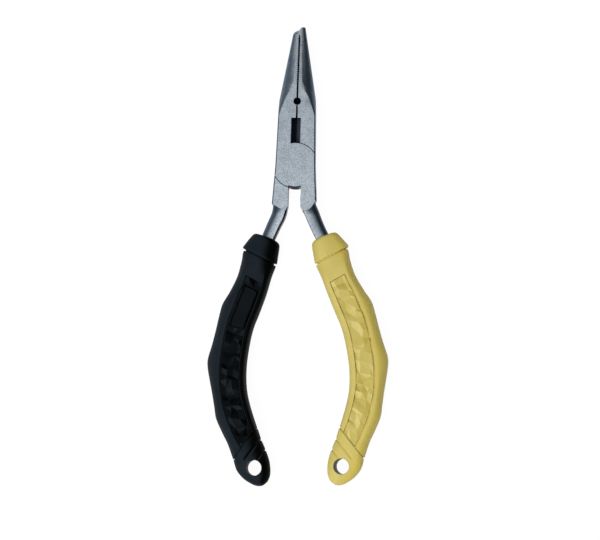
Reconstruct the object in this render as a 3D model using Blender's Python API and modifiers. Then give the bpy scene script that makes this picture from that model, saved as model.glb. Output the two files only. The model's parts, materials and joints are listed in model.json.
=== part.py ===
"""Fishing pliers: a long half-round nose with a split-ring hook, a lap joint and two moulded grips.

Frame: +Y points from the grips to the nose tip, +Z is the front face's side, and the pliers lie on
Z = 0. The grips mirror each other in X = 0. The head leans a little towards +X, about the pivot.

Two forged halves cross in the lap joint. The front half carries the left jaw, the front lap and the
right-hand tang. The back half carries the right jaw with the hook, the back lap and the left-hand
tang. Each half is the same forged blank with its other half's share cut away.
"""

import math

import bmesh
import bpy
from mathutils import Matrix, Vector

MM = 0.001

# Head: the forged blank, measured from the pivot along the jaw line
HEAD_HALF_THICKNESS = 3.55 * MM
HEAD_HALF_WIDTH = 7.36 * MM  # at the pivot
HEAD_TAPER = 0.024  # half width lost for each unit towards the nose
NECK_TAPER = 0.060  # half width gained for each unit towards the grips
NECK_END = 17.6 * MM
NOSE_LENGTH = 52.05 * MM  # pivot to the hook's point
NOSE_TIP_HALF_WIDTH = 1.95 * MM
NOSE_SLOPE = math.tan(math.radians(9.84))
NOSE_START = NOSE_LENGTH - 36.05 * MM  # where the cone begins to cut into the head's corners
RIDGE_SHARE = 0.97  # the cone's top is ground flat at this share of its height
CORNER_WIDTH_SHARE = 1.183  # the ellipse that rounds the head's long corners
LEAST_SIDE = 0.05 * MM
HEAD_LEAN = math.radians(2.4)

# The cone's half height, as a share of the head's half thickness, at distances back from the nose's end
CONE_HEIGHTS = [
    (-0.95 * MM, 0.31),
    (4.05 * MM, 0.46),
    (10.05 * MM, 0.66),
    (16.05 * MM, 0.87),
    (21.05 * MM, 1.03),
    (24.05 * MM, 1.14),
    (27.05 * MM, 1.34),
    (30.05 * MM, 1.57),
    (32.05 * MM, 1.65),
]

# Lap joint
LAP_RADIUS = 8.3 * MM
LAP_CLEARANCE = 0.3 * MM  # round the laps and between them
LAP_MEETING_ANGLE = math.degrees(math.asin(LAP_CLEARANCE / 2 / LAP_RADIUS))  # past the lap's side
NOTCH_HALF_WIDTH = 2.35 * MM
NECK_OUTER_END = 14.0 * MM  # the full thickness ends here on the neck's outer side
NECK_INNER_END = 17.2 * MM

# Jaw faces
JAW_GAP = 0.3 * MM
JAW_RELIEF = 0.24 * MM  # from the jaw line, where the jaws don't grip
TOOTH_PITCH = 0.75 * MM
TOOTH_DEPTH = 0.3 * MM
TEETH_START = 30.2 * MM
CRIMP_CENTRE = 24.1 * MM
CRIMP_RADIUS = 1.3 * MM
WINDOW_HALF_WIDTH = 1.85 * MM
WINDOW_TOP = 17.7 * MM
HOOK_HEIGHT = 3.05 * MM  # from the plain jaw's end to the hook's point
PLAIN_JAW_END = NOSE_LENGTH - HOOK_HEIGHT
HOOK_CLEARANCE = 0.3 * MM
HOOK_SLANT_HIGH = (0.9 * MM, NOSE_LENGTH)
HOOK_SLANT_LOW = (-2.35 * MM, NOSE_LENGTH - 2.4 * MM)
TOOTHLESS_END = 0.7 * MM
TOOTH_COUNT = int((PLAIN_JAW_END - TOOTHLESS_END - TEETH_START) / TOOTH_PITCH)

# Cutter blades, let into the window's side walls
BLADE_SEAT_GAP = 0.3 * MM  # from the window's walls
BLADE_EDGE_GAP = 0.15 * MM  # from the jaw line
BLADE_BACK_LAND = 0.15 * MM  # the blade's faces stand this far below the head's

# Pivot rivet: pressed into the front lap, turning in the back lap
RIVET_RADIUS = 2.4 * MM
RIVET_RUNNING_CLEARANCE = 0.08 * MM  # a turned pin's running fit
RIVET_BLIND_DEPTH = 2.3 * MM  # into the front lap
RIVET_HEAD_RADIUS = 3.6 * MM
RIVET_HEAD_THICKNESS = 1.1 * MM
RIVET_HEAD_RECESS = 0.1 * MM
RIVET_CROWN = 0.25 * MM

# Tangs: half-round bars, flat side inward. Points are the middle of the bar, from the pivot.
TANG_IN_NECK = [(5.2 * MM, -9.5 * MM), (5.25 * MM, -14.6 * MM)]
TANG_TO_END = [
    (8.55 * MM, -23.6 * MM),
    (13.1 * MM, -33.8 * MM),
    (16.9 * MM, -43.6 * MM),
    (20.9 * MM, -53.2 * MM),
    (23.8 * MM, -62.4 * MM),
    (25.4 * MM, -71.2 * MM),
    (25.6 * MM, -79.0 * MM),
    (24.8 * MM, -86.0 * MM),
    (23.6 * MM, -91.5 * MM),
]
TANG_WIDTHS = [5.45, 5.5, 5.1, 4.9, 4.8, 4.7, 4.6, 4.5, 4.4, 4.2, 3.6]
TANG_HALF_HEIGHTS = [3.2, 3.25, 2.75, 2.65, 2.6, 2.55, 2.5, 2.45, 2.4, 2.3, 2.0]
TANG_CLEARANCE = 0.3 * MM

# Grips. Each station is the inner edge point, the outer edge point and the half thickness, in mm.
GRIP_HALF_THICKNESS = 5.8 * MM
COLLAR_STATIONS = [
    ((5.95, -29.35), (14.5, -24.8), 4.6),
    ((6.55, -32.3), (16.75, -26.9), 5.15),
    ((7.2, -35.5), (19.0, -29.2), 5.7),
]
SLEEVE_STATIONS = [
    ((7.75, -37.5), (19.45, -31.6), 5.7),
    ((9.1, -41.0), (20.35, -35.6), 5.8),
    ((11.0, -46.0), (21.9, -40.7), 5.8),
    ((13.0, -51.4), (25.2, -46.4), 5.8),
    ((14.6, -55.6), (27.7, -50.7), 5.8),
    ((15.9, -59.2), (28.95, -55.3), 5.8),
    ((17.1, -63.3), (30.15, -60.3), 5.8),
    ((18.0, -67.8), (31.6, -65.7), 5.8),
    ((18.65, -72.0), (33.1, -70.7), 5.8),
    ((18.95, -75.2), (33.45, -74.0), 5.8),
    ((19.05, -78.6), (32.6, -79.2), 5.8),
    ((18.9, -82.0), (31.75, -84.0), 5.8),
    ((18.5, -85.0), (31.0, -89.0), 5.8),
    ((17.7, -88.5), (30.25, -93.6), 5.8),
    ((16.9, -91.3), (28.1, -98.3), 5.8),
    ((16.1, -93.9), (25.9, -102.7), 5.8),
    ((15.4, -96.3), (24.25, -107.0), 5.7),
]
CAP_STATIONS = [
    ((14.95, -97.6), (24.0, -108.6), 5.55),
    ((13.75, -101.0), (23.0, -112.2), 5.2),
    ((12.3, -104.8), (20.6, -115.4), 4.9),
    ((11.15, -108.4), (18.1, -117.2), 4.55),
    ((10.75, -111.5), (16.1, -118.35), 4.0),
    ((10.85, -114.0), (14.4, -118.7), 3.1),
    ((11.25, -115.6), (13.1, -118.2), 2.0),
    ((11.75, -116.8), (12.2, -117.4), 0.7),
]
INNER_SIDE_WIDTH = 2.1 * MM  # how far the rounded sides reach in from the edges
OUTER_SIDE_WIDTH = 3.3 * MM
GROOVE_HALF_WIDTH = 0.28 * MM
GROOVE_DEPTH = 0.55 * MM
LANYARD_HOLE_CENTRE = (16.1 * MM, -111.2 * MM)
LANYARD_HOLE_RADIUS = 3.0 * MM

# Textured inlays: they follow the grip's inner edge, in pockets on the grip's front and back
INLAY_FROM_INNER_EDGE = 2.5 * MM
INLAY_WIDTH = 7.1 * MM
INLAY_START = 0.085  # share of the sleeve's stations where the inlay begins, and where it ends
INLAY_END = 0.925
POCKET_DEPTH = 1.2 * MM
INLAY_CLEARANCE = 0.3 * MM

# Mesh fineness
QUADRANT_POINTS = 7
TANG_ARC_POINTS = 11
TANG_STEPS = 2  # rings for each span between path points
GRIP_STEPS = 1
LAP_ARC_POINTS = 24
ROUND_SEGMENTS = 48

FAR = 80.0 * MM  # beyond the object, for cutters

# Where the pivot stands: the object's box is centred on the origin and rests on Z = 0
GRIP_END = 118.8 * MM
TIP_HEIGHT = NOSE_LENGTH * math.cos(HEAD_LEAN) - HOOK_SLANT_HIGH[0] * math.sin(HEAD_LEAN)
PIVOT_PLACE = Vector((0.0, (GRIP_END - TIP_HEIGHT) / 2, GRIP_HALF_THICKNESS))

COLOURS = {
    "steel": ((0.36, 0.41, 0.46), 0.38, 1.0),
    "blade": ((0.07, 0.08, 0.10), 0.35, 1.0),
    "rivet": ((0.40, 0.43, 0.46), 0.30, 1.0),
    "yellow": ((0.58, 0.47, 0.13), 0.60, 0.0),
    "black": ((0.012, 0.015, 0.018), 0.55, 0.0),
}


def clear_scene():
    """Empties the scene and returns the collections for the pieces and for the cutters."""
    for obj in list(bpy.data.objects):
        bpy.data.objects.remove(obj)
    made = []
    for name in ("fishing_pliers", "cutters"):
        collection = bpy.data.collections.new(name)
        bpy.context.scene.collection.children.link(collection)
        made.append(collection)
    return made


def material(name):
    """A Principled material from COLOURS, made once."""
    if name in bpy.data.materials:
        return bpy.data.materials[name]
    colour, roughness, metallic = COLOURS[name]
    made = bpy.data.materials.new(name)
    made.use_nodes = True
    shader = made.node_tree.nodes["Principled BSDF"]
    shader.inputs["Base Color"].default_value = (*colour, 1.0)
    shader.inputs["Roughness"].default_value = roughness
    shader.inputs["Metallic"].default_value = metallic
    return made


def between(value, low, high):
    return max(low, min(high, value))


def table_value(table, at):
    """Straight-line reading of a table of (place, value) pairs."""
    for (place, value), (next_place, next_value) in zip(table, table[1:]):
        if at <= next_place:
            share = between((at - place) / (next_place - place), 0.0, 1.0)
            return value + (next_value - value) * share
    return table[-1][1]


def smooth_through(rows, steps):
    """Catmull-Rom rows through the given rows of numbers, with steps rows for each span."""
    ends = [rows[0], *rows, rows[-1]]
    made = []
    for i in range(len(rows) - 1):
        before, start, end, after = ends[i : i + 4]
        for step in range(steps):
            t = step / steps
            made.append(
                [
                    0.5
                    * (
                        2 * b
                        + (c - a) * t
                        + (2 * a - 5 * b + 4 * c - d) * t**2
                        + (3 * b - a - 3 * c + d) * t**3
                    )
                    for a, b, c, d in zip(before, start, end, after)
                ]
            )
    made.append(list(rows[-1]))
    return made


def circle_arc(centre, radius, start_degrees, end_degrees, count):
    """Points along an arc, both ends included."""
    turn = (end_degrees - start_degrees) / (count - 1)
    angles = [math.radians(start_degrees + turn * i) for i in range(count)]
    return [(centre[0] + radius * math.cos(a), centre[1] + radius * math.sin(a)) for a in angles]


def object_from_bmesh(name, bm, collection):
    bmesh.ops.recalc_face_normals(bm, faces=bm.faces)
    mesh = bpy.data.meshes.new(name)
    bm.to_mesh(mesh)
    bm.free()
    obj = bpy.data.objects.new(name, mesh)
    collection.objects.link(obj)
    return obj


def loft(name, rings, collection):
    """A closed solid through rings of equally many points, with flat ends."""
    bm = bmesh.new()
    made = [[bm.verts.new(point) for point in ring] for ring in rings]
    for ring, following in zip(made, made[1:]):
        for i in range(len(ring)):
            j = (i + 1) % len(ring)
            bm.faces.new((ring[i], ring[j], following[j], following[i]))
    bm.faces.new(made[0])
    bm.faces.new(made[-1])
    return object_from_bmesh(name, bm, collection)


def prism(name, outline, low, high, collection):
    """A flat outline as a filled 2D curve, extruded from low to high, as a mesh."""
    curve = bpy.data.curves.new(name, "CURVE")
    curve.dimensions = "2D"
    curve.fill_mode = "BOTH"
    curve.extrude = (high - low) / 2
    spline = curve.splines.new("POLY")
    spline.points.add(len(outline) - 1)
    for point, (x, y) in zip(spline.points, outline):
        point.co = (x, y, 0.0, 1.0)
    spline.use_cyclic_u = True
    guide = bpy.data.objects.new(name + "_curve", curve)
    collection.objects.link(guide)
    bpy.context.view_layer.update()
    evaluated = guide.evaluated_get(bpy.context.evaluated_depsgraph_get())
    bm = bmesh.new()
    bm.from_mesh(bpy.data.meshes.new_from_object(evaluated))
    bpy.data.objects.remove(guide)
    bmesh.ops.remove_doubles(bm, verts=bm.verts, dist=1e-7)
    bmesh.ops.translate(bm, verts=bm.verts, vec=(0.0, 0.0, (low + high) / 2))
    return object_from_bmesh(name, bm, collection)


def cylinder(name, centre, radius, low, high, collection):
    bm = bmesh.new()
    bmesh.ops.create_cone(
        bm,
        cap_ends=True,
        segments=ROUND_SEGMENTS,
        radius1=radius,
        radius2=radius,
        depth=high - low,
        matrix=Matrix.Translation((centre[0], centre[1], (low + high) / 2)),
    )
    return object_from_bmesh(name, bm, collection)


def combine(obj, other, operation):
    """Adds an exact Boolean with another object, which becomes a hidden helper."""
    modifier = obj.modifiers.new(other.name, "BOOLEAN")
    modifier.operation = operation
    modifier.solver = "EXACT"
    modifier.object = other
    other.hide_render = True
    other.display_type = "WIRE"


def bake_modifiers(obj):
    """Replaces the object's mesh by its evaluated one, and clears its modifiers."""
    bpy.context.view_layer.update()
    evaluated = obj.evaluated_get(bpy.context.evaluated_depsgraph_get())
    obj.data = bpy.data.meshes.new_from_object(evaluated)
    obj.modifiers.clear()


def finish_piece(obj, material_name, pivot):
    """Gives a piece its material and smooth shading, and hangs it on the pivot empty."""
    obj.data.materials.clear()
    obj.data.materials.append(material(material_name))
    obj.data.shade_smooth()
    obj.data.set_sharp_from_angle(angle=math.radians(32))
    obj.parent = pivot


# --- Head -----------------------------------------------------------------------------------------


def head_half_width(y):
    """Half the head's width between its flat side faces."""
    return HEAD_HALF_WIDTH - y * (HEAD_TAPER if y > 0 else NECK_TAPER)


def head_section(y):
    """The closed section of the whole blank, both jaws, at a distance from the pivot."""
    flat_side = head_half_width(y)
    cone = NOSE_TIP_HALF_WIDTH + (NOSE_LENGTH - y) * NOSE_SLOPE
    width = min(cone, flat_side * CORNER_WIDTH_SHARE)
    height = table_value(CONE_HEIGHTS, NOSE_LENGTH - y) * HEAD_HALF_THICKNESS
    top = min(HEAD_HALF_THICKNESS, RIDGE_SHARE * height)
    side = min(width, flat_side)
    start = math.asin(top / height)
    end = math.asin(max(LEAST_SIDE / height, math.sqrt(1 - (side / width) ** 2)))
    angles = [start + (end - start) * i / (QUADRANT_POINTS - 1) for i in range(QUADRANT_POINTS)]
    quadrant = [(width * math.cos(a), height * math.sin(a)) for a in angles]
    right = quadrant + [(x, -z) for x, z in reversed(quadrant)]
    left = [(-x, -z) for x, z in right]
    return [(x, y, z) for x, z in right + left]


def head_blank(name, collection):
    """The forged blank before it is parted into halves: neck, joint and nose."""
    nose_steps = 22
    straight = [-NECK_END, -NECK_OUTER_END, 0.0]
    nose = [NOSE_START + (NOSE_LENGTH - NOSE_START) * i / nose_steps for i in range(nose_steps + 1)]
    return loft(name, [head_section(y) for y in straight + nose], collection)


def jaw_face():
    """The jaw's face as (distance from the jaw line, distance from the pivot), from the lap outward."""
    hole_half_chord = math.sqrt(CRIMP_RADIUS**2 - JAW_RELIEF**2)
    hole_angle = math.degrees(math.asin(hole_half_chord / CRIMP_RADIUS))
    hole = circle_arc((0.0, CRIMP_CENTRE), CRIMP_RADIUS, -hole_angle, hole_angle, 13)
    teeth = []
    for i in range(TOOTH_COUNT):
        foot = TEETH_START + i * TOOTH_PITCH
        teeth.append((JAW_GAP / 2 + TOOTH_DEPTH, foot))
        teeth.append((JAW_GAP / 2, foot + TOOTH_PITCH / 2))
    last_foot = TEETH_START + TOOTH_COUNT * TOOTH_PITCH
    return [
        (WINDOW_HALF_WIDTH, math.sqrt(LAP_RADIUS**2 - WINDOW_HALF_WIDTH**2)),
        (WINDOW_HALF_WIDTH, WINDOW_TOP),
        (JAW_RELIEF, WINDOW_TOP),
        *hole,
        (JAW_RELIEF, TEETH_START),
        *teeth,
        (JAW_GAP / 2 + TOOTH_DEPTH, last_foot),
        (JAW_GAP / 2, last_foot),
    ]


def other_jaw_outline(hooked):
    """What to cut away beside the jaw at +X: the space of the other jaw, from the lap's rim outward."""
    rim_angle = math.degrees(math.acos(WINDOW_HALF_WIDTH / LAP_RADIUS))
    rim = circle_arc((0.0, 0.0), LAP_RADIUS, 180 + LAP_MEETING_ANGLE, rim_angle, LAP_ARC_POINTS)
    if hooked:
        hook_floor = PLAIN_JAW_END + HOOK_CLEARANCE
        ends = [(JAW_GAP / 2, hook_floor), (-FAR, hook_floor)]
    else:
        ends = [
            (JAW_GAP / 2, PLAIN_JAW_END),
            (FAR, PLAIN_JAW_END),
            (FAR, FAR),
            (-FAR, FAR),
        ]
    return rim + jaw_face()[1:] + ends + [(-FAR, rim[0][1])]


def other_neck_outline():
    """What to cut away beside the neck at -X: the other neck, the notch and all beyond the neck's end."""
    start_angle = -math.degrees(math.acos(-NOTCH_HALF_WIDTH / LAP_RADIUS))
    rim = circle_arc((0.0, 0.0), LAP_RADIUS, LAP_MEETING_ANGLE, start_angle, LAP_ARC_POINTS)
    outer = -head_half_width(-NECK_OUTER_END)
    slope = (NECK_INNER_END - NECK_OUTER_END) / (-NOTCH_HALF_WIDTH - outer)
    far_end = -NECK_OUTER_END + slope * (FAR + outer)
    return rim + [
        (-NOTCH_HALF_WIDTH, -NECK_INNER_END),
        (-FAR, far_end),
        (-FAR, -FAR),
        (FAR, -FAR),
        (FAR, rim[0][1]),
    ]


def half_tang(side, half_name, collection):
    """The half-round bar that runs from the neck into the grip on this side of X = 0."""
    in_neck = [lean_point((side * x, y)) for x, y in TANG_IN_NECK]
    path = in_neck + [(side * x, y) for x, y in TANG_TO_END]
    return loft(half_name, tang_rings(path, side, 0.0, 0.0), collection)


def lean_point(point):
    """A point of the head, turned with the head's lean."""
    return (Matrix.Rotation(-HEAD_LEAN, 2) @ Vector(point)).to_tuple()


def tang_rings(path, side, clearance, end_clearance):
    """Half-round sections along the path, grown by the clearance where they cut a bore."""
    rows = [
        (x, y, width * MM, height * MM)
        for (x, y), width, height in zip(path, TANG_WIDTHS[-len(path) :], TANG_HALF_HEIGHTS[-len(path) :])
    ]
    rows = smooth_through(rows, TANG_STEPS)
    rings = []
    for i, (x, y, width, height) in enumerate(rows):
        ahead, behind = rows[min(i + 1, len(rows) - 1)], rows[max(i - 1, 0)]
        along = Vector((ahead[0] - behind[0], ahead[1] - behind[1], 0.0)).normalized()
        outward = Vector((-along.y, along.x, 0.0)) * side
        centre = Vector((x, y, 0.0))
        if i == len(rows) - 1:
            centre += along * end_clearance
        ring = []
        for k in range(TANG_ARC_POINTS):
            angle = math.pi * (0.5 - k / (TANG_ARC_POINTS - 1))
            across = (width + 2 * clearance) * math.cos(angle) - width / 2 - clearance
            up = (height + clearance) * math.sin(angle)
            ring.append(centre + outward * across + Vector((0.0, 0.0, up)))
        rings.append(ring)
    return rings


def forged_half(name, jaw_side, pivot, pieces, cutters):
    """One half of the pliers. jaw_side is -1 for the front half's left jaw, 1 for the back half's."""
    front = jaw_side < 0
    hooked = not front
    blank = head_blank(name, pieces)
    outlines = {
        "other_jaw": other_jaw_outline(hooked),
        "other_neck": other_neck_outline(),
    }
    if hooked:
        (high_x, high_y), (low_x, low_y) = HOOK_SLANT_HIGH, HOOK_SLANT_LOW
        slope = (high_y - low_y) / (high_x - low_x)
        outlines["hook_slant"] = [
            (high_x + FAR, high_y + slope * FAR),
            (-FAR, high_y - slope * (FAR + high_x)),
            (-FAR, FAR * 2),
            (high_x + FAR, FAR * 2),
        ]
    for key, outline in outlines.items():
        turned = [(jaw_side * x, y) for x, y in outline] if key != "hook_slant" else outline
        combine(blank, prism(f"{name}_{key}", turned, -FAR, FAR, cutters), "DIFFERENCE")
    lap_face = LAP_CLEARANCE / 2
    low, high = (-FAR, lap_face) if front else (-lap_face, FAR)
    relief = cylinder(f"{name}_lap_relief", (0, 0), LAP_RADIUS + LAP_CLEARANCE, low, high, cutters)
    combine(blank, relief, "DIFFERENCE")
    for part in rivet_seats(name, front, cutters):
        combine(blank, part, "DIFFERENCE")
    bake_modifiers(blank)
    blank.data.transform(Matrix.Rotation(-HEAD_LEAN, 4, "Z"))
    combine(blank, half_tang(-jaw_side, name + "_tang", cutters), "UNION")
    bake_modifiers(blank)
    finish_piece(blank, "steel", pivot)


def rivet_seats(name, front, collection):
    """The blind hole in the front lap, or the bore and counterbore in the back lap."""
    radius = RIVET_RADIUS + RIVET_RUNNING_CLEARANCE
    if front:
        depth = LAP_CLEARANCE / 2 + RIVET_BLIND_DEPTH
        return [cylinder(name + "_rivet_hole", (0, 0), radius, -FAR / 2, depth, collection)]
    shelf = -HEAD_HALF_THICKNESS + RIVET_HEAD_RECESS + RIVET_HEAD_THICKNESS
    head_radius = RIVET_HEAD_RADIUS + RIVET_RUNNING_CLEARANCE
    return [
        cylinder(name + "_rivet_bore", (0, 0), radius, -FAR / 2, FAR / 2, collection),
        cylinder(
            name + "_rivet_counterbore",
            (0, 0),
            head_radius,
            -FAR / 2,
            shelf + RIVET_RUNNING_CLEARANCE,
            collection,
        ),
    ]


def pivot_rivet(pivot, collection):
    """A turned rivet: shank up into the front lap, flat head with a low crown at the back."""
    back = -HEAD_HALF_THICKNESS + RIVET_HEAD_RECESS
    shelf = back + RIVET_HEAD_THICKNESS
    top = LAP_CLEARANCE / 2 + RIVET_BLIND_DEPTH - RIVET_RUNNING_CLEARANCE
    profile = [
        (0.0, top),
        (RIVET_RADIUS - RIVET_CROWN, top),
        (RIVET_RADIUS, top - RIVET_CROWN),
        (RIVET_RADIUS, shelf),
        (RIVET_HEAD_RADIUS, shelf),
        (RIVET_HEAD_RADIUS, back + RIVET_CROWN),
        (RIVET_HEAD_RADIUS - RIVET_CROWN, back),
        (0.0, back),
    ]
    bm = bmesh.new()
    verts = [bm.verts.new((x, 0.0, z)) for x, z in profile]
    for a, b in zip(verts, verts[1:]):
        bm.edges.new((a, b))
    mesh = bpy.data.meshes.new("pivot_rivet")
    bm.to_mesh(mesh)
    bm.free()
    obj = bpy.data.objects.new("pivot_rivet", mesh)
    collection.objects.link(obj)
    screw = obj.modifiers.new("turn", "SCREW")
    screw.steps = screw.render_steps = ROUND_SEGMENTS
    screw.use_merge_vertices = True
    screw.merge_threshold = 1e-6
    bake_modifiers(obj)
    finish_piece(obj, "rivet", pivot)


def cutter_blade(name, side, pivot, collection):
    """A hardened blade with its edge on the jaw line, bevelled from both faces of the head."""
    base = WINDOW_HALF_WIDTH - BLADE_SEAT_GAP
    half_height = HEAD_HALF_THICKNESS - BLADE_BACK_LAND
    low = LAP_RADIUS + LAP_CLEARANCE
    high = WINDOW_TOP - BLADE_SEAT_GAP
    section = [(base, -half_height), (base, half_height), (BLADE_EDGE_GAP, 0.0)]
    rings = [[(side * x, y, z) for x, z in section] for y in (low, high)]
    obj = loft(name, rings, collection)
    obj.data.transform(Matrix.Rotation(-HEAD_LEAN, 4, "Z"))
    finish_piece(obj, "blade", pivot)


# --- Grips ----------------------------------------------------------------------------------------


def grip_ring(station, inset, flatness, inset_reach=1.0):
    """A closed section across the grip, between its inner and outer edge points.

    flatness 0 gives an oval, 1 the flat-faced section with rounded sides. The inset shrinks the
    section, over the share of its width that inset_reach gives, counted from the inner edge.
    """
    inner_x, inner_y, outer_x, outer_y, half_height = (value * MM for value in station)
    half_height = min(half_height, GRIP_HALF_THICKNESS)
    inner, outer = Vector((inner_x, inner_y, 0.0)), Vector((outer_x, outer_y, 0.0))
    centre, half = (inner + outer) / 2, (outer - inner).length / 2
    outward = (outer - inner).normalized()
    inner_side = half + (min(INNER_SIDE_WIDTH, half) - half) * flatness
    outer_side = half + (min(OUTER_SIDE_WIDTH, half) - half) * flatness
    angles = [math.pi / 2 * i / (QUADRANT_POINTS - 1) for i in range(QUADRANT_POINTS)]
    outer_arc = [(half - outer_side * (1 - math.sin(a)), math.cos(a)) for a in angles]
    inner_arc = [(-half + inner_side * (1 - math.cos(a)), math.sin(a)) for a in angles]
    outline = outer_arc[:-1] + [(x, -z) for x, z in reversed(outer_arc)]
    outline += [(x, -z) for x, z in reversed(inner_arc)][:-1] + inner_arc
    ring = []
    for across, share in outline:
        share_across = (across + half) / (2 * half)
        local_inset = inset * between((inset_reach - share_across) / 0.12, 0.0, 1.0)
        if inset_reach >= 1.0:
            local_inset = inset
        shrink_across = 1 - local_inset / half
        up = share * (half_height - local_inset)
        ring.append(centre + outward * across * shrink_across + Vector((0.0, 0.0, up)))
    return ring


def blend_rows(a, b, share):
    return [x + (y - x) * share for x, y in zip(a, b)]


def groove_rings(station, following, start_share, end_share, flatness, reach=1.0):
    """Four rings that cut a narrow groove across the span between two stations."""
    middle = (start_share + end_share) / 2
    width = end_share - start_share
    rings = []
    for share, depth in (
        (middle - width / 2, 0.0),
        (middle - width / 4, GROOVE_DEPTH),
        (middle + width / 4, GROOVE_DEPTH),
        (middle + width / 2, 0.0),
    ):
        rings.append(grip_ring(blend_rows(station, following, share), depth, flatness, reach))
    return rings


def flat_rows(stations):
    """Stations as plain rows of numbers: inner x, y, outer x, y, half thickness."""
    return [(*inner, *outer, height) for inner, outer, height in stations]


def span_share(row, following, width):
    """The share of the span between two rows that a width along the grip's middle takes."""
    middle = Vector(((row[0] + row[2]) / 2, (row[1] + row[3]) / 2))
    next_middle = Vector(((following[0] + following[2]) / 2, (following[1] + following[3]) / 2))
    return width / MM / (next_middle - middle).length


def mirrored(rings, side):
    return [[Vector((point.x * side, point.y, point.z)) for point in ring] for ring in rings]


def grip_rings():
    """Sections from the collar's top to the tip of the cap, with the collar and cap grooves."""
    collar = smooth_through(flat_rows(COLLAR_STATIONS), 1)
    sleeve = smooth_through(flat_rows(SLEEVE_STATIONS), GRIP_STEPS)
    cap = smooth_through(flat_rows(CAP_STATIONS), GRIP_STEPS)
    rings = [grip_ring(row, 0.0, 0.0) for row in collar]
    rings += groove_between(collar[-1], sleeve[0], 0.0, 1.0)
    last = len(sleeve) - 1
    for i, row in enumerate(sleeve):
        rings.append(grip_ring(row, 0.0, between(i / (last * 0.12), 0.0, 1.0)))
    rings += groove_between(sleeve[-1], cap[0], 1.0, 1.0)
    second, third = GRIP_STEPS, 2 * GRIP_STEPS
    for i, row in enumerate(cap):
        if i in (second, third):
            reach = 0.70 if i == second else 0.30
            share = span_share(row, cap[i + 1], GROOVE_HALF_WIDTH)
            rings += groove_rings(cap[i - 1], row, 1 - 2 * share, 1.0, 1.0, reach)[:3]
        rings.append(grip_ring(row, 0.0, 1.0))
    return rings


def groove_between(row, following, flatness, reach):
    """The groove in the middle of the span between two rows."""
    share = span_share(row, following, GROOVE_HALF_WIDTH)
    return groove_rings(row, following, 0.5 - share, 0.5 + share, flatness, reach)


def inlay_outline(shrink):
    """The textured panel's outline: two lines that follow the grip's inner edge, and slanting ends."""
    rows = smooth_through(flat_rows(SLEEVE_STATIONS), 3)
    first = round(INLAY_START * (len(rows) - 1))
    last = round(INLAY_END * (len(rows) - 1))
    near, far = [], []
    for i in range(first, last + 1):
        row, before, after = rows[i], rows[i - 1], rows[min(i + 1, len(rows) - 1)]
        inner, outer = Vector(row[:2]) * MM, Vector(row[2:4]) * MM
        along = (Vector(after[:2]) - Vector(before[:2])).normalized()
        across = (outer - inner).normalized()
        outward = Vector((-along.y, along.x))
        stretch = 1 / across.dot(outward)
        near.append(inner + across * (INLAY_FROM_INNER_EDGE + shrink) * stretch)
        far.append(inner + across * (INLAY_FROM_INNER_EDGE + INLAY_WIDTH - shrink) * stretch)
    for line in (near, far):
        line[0] += (line[1] - line[0]).normalized() * shrink
        line[-1] += (line[-2] - line[-1]).normalized() * shrink
    return [tuple(point) for point in near + far[::-1]]


def grip(name, side, material_name, pivot, pieces, cutters):
    """A moulded grip with its collar, tang bore, lanyard hole and the inlays' pockets."""
    body = loft(name, mirrored(grip_rings(), side), pieces)
    entry = Vector(TANG_TO_END[1]) - Vector(TANG_TO_END[0])
    mouth = Vector(TANG_TO_END[0]) - entry
    path = [(side * x, y) for x, y in [mouth.to_tuple(), *TANG_TO_END]]
    bore = loft(
        name + "_bore", tang_rings(path, side, TANG_CLEARANCE, TANG_CLEARANCE), cutters
    )
    combine(body, bore, "DIFFERENCE")
    hole_x, hole_y = LANYARD_HOLE_CENTRE
    hole = cylinder(
        name + "_lanyard_hole", (side * hole_x, hole_y), LANYARD_HOLE_RADIUS, -FAR, FAR, cutters
    )
    combine(body, hole, "DIFFERENCE")
    pocket = [(side * x, y) for x, y in inlay_outline(0.0)]
    floor = GRIP_HALF_THICKNESS - POCKET_DEPTH
    combine(body, prism(name + "_front_pocket", pocket, floor, FAR, cutters), "DIFFERENCE")
    combine(body, prism(name + "_back_pocket", pocket, -FAR, -floor, cutters), "DIFFERENCE")
    bake_modifiers(body)
    finish_piece(body, material_name, pivot)


def inlay(name, side, face, material_name, pivot, collection):
    """A textured panel that lies in the grip's pocket. face is 1 for the front, -1 for the back."""
    outline = [(side * x, y) for x, y in inlay_outline(INLAY_CLEARANCE)]
    seat = GRIP_HALF_THICKNESS - POCKET_DEPTH + INLAY_CLEARANCE
    low, high = (seat, GRIP_HALF_THICKNESS) if face > 0 else (-GRIP_HALF_THICKNESS, -seat)
    finish_piece(prism(name, outline, low, high, collection), material_name, pivot)


def main():
    pieces, cutters = clear_scene()
    pivot = bpy.data.objects.new("pivot", None)
    pivot.location = PIVOT_PLACE
    pieces.objects.link(pivot)
    forged_half("front_half", -1, pivot, pieces, cutters)
    forged_half("back_half", 1, pivot, pieces, cutters)
    pivot_rivet(pivot, pieces)
    cutter_blade("cutter_blade_left", -1, pivot, pieces)
    cutter_blade("cutter_blade_right", 1, pivot, pieces)
    for colour, side in (("yellow", 1), ("black", -1)):
        grip(f"{colour}_grip", side, colour, pivot, pieces, cutters)
        for face_name, face in (("front", 1), ("back", -1)):
            inlay(f"{colour}_inlay_{face_name}", side, face, colour, pivot, pieces)


main()
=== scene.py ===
"""Fishing pliers: the finish of two forged steel halves, their cutter blades, rivet and moulded grips."""

import json
import math

import bmesh
import bpy
import numpy as np
from mathutils import Matrix, Vector


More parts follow.
